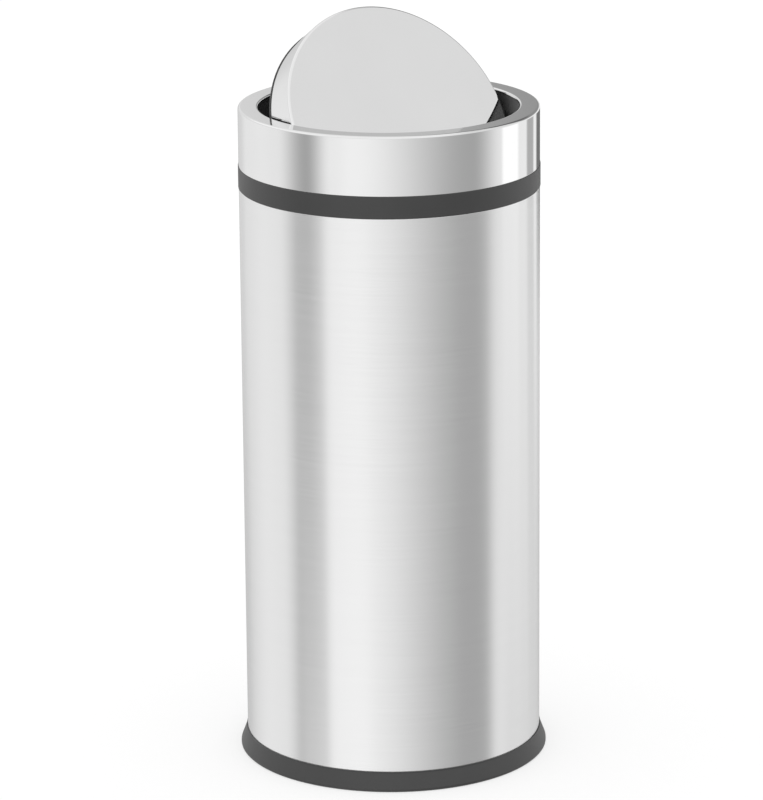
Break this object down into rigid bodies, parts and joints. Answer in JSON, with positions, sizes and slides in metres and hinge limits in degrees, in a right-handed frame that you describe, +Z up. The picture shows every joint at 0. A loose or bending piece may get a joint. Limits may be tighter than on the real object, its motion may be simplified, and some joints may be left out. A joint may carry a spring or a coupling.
{
  "type": "swing-top trash can",
  "caption": "Round floor-standing trash can: brushed steel drum, black base and band, and a polished lift-off collar with a weighted lid that swings on a pivot across the opening.",
  "frame": {"origin": "on the floor under the centre of the drum", "axes": "+Z up along the drum, +X along the lid's pivot, -Y towards the side where the lid dips"},
  "size_m": [0.3134, 0.3134, 0.7577],
  "materials": {
    "drum_steel": "brushed satin",
    "polished_steel": "mirror-polished stainless sheet",
    "black_plastic": "fine-grained moulded",
    "pan_steel": "plain pressed sheet",
    "pad_rubber": "matt",
    "bush_plastic": "natural moulded",
    "pin_steel": "turned",
    "zinc_steel": "zinc plated",
    "weight_iron": "black coated"
  },
  "bodies": {
    "can": {"body_shell": "drum_steel", "base_tray": "black_plastic", "foot_pads": "pad_rubber", "floor_pan": "pan_steel", "floor_screws": "zinc_steel"},
    "top": {"joint_ring": "black_plastic", "collar_shell": "polished_steel", "lid_housing": "black_plastic", "housing_screws": "zinc_steel", "left_pivot_bush": "bush_plastic", "right_pivot_bush": "bush_plastic"},
    "lid": {"lid_cap": "polished_steel", "lid_base": "black_plastic", "left_pivot_bracket": "zinc_steel", "right_pivot_bracket": "zinc_steel", "left_pivot_pin": "pin_steel", "right_pivot_pin": "pin_steel", "left_stop_arm": "zinc_steel", "right_stop_arm": "zinc_steel", "pivot_nuts": "zinc_steel", "lid_screws": "zinc_steel", "counterweight": "weight_iron", "weight_screws": "zinc_steel"}
  },
  "joints": [
    {"name": "top_lift", "type": "slide", "parent": "can", "child": "top", "axis": [0, 0, 1], "range_m": [0, 0.1]},
    {"name": "lid_swing", "type": "hinge", "parent": "top", "child": "lid", "pos_m": [0, 0, 0.641], "axis": [1, 0, 0], "range_deg": [-130.5, 19.5]}
  ]
}
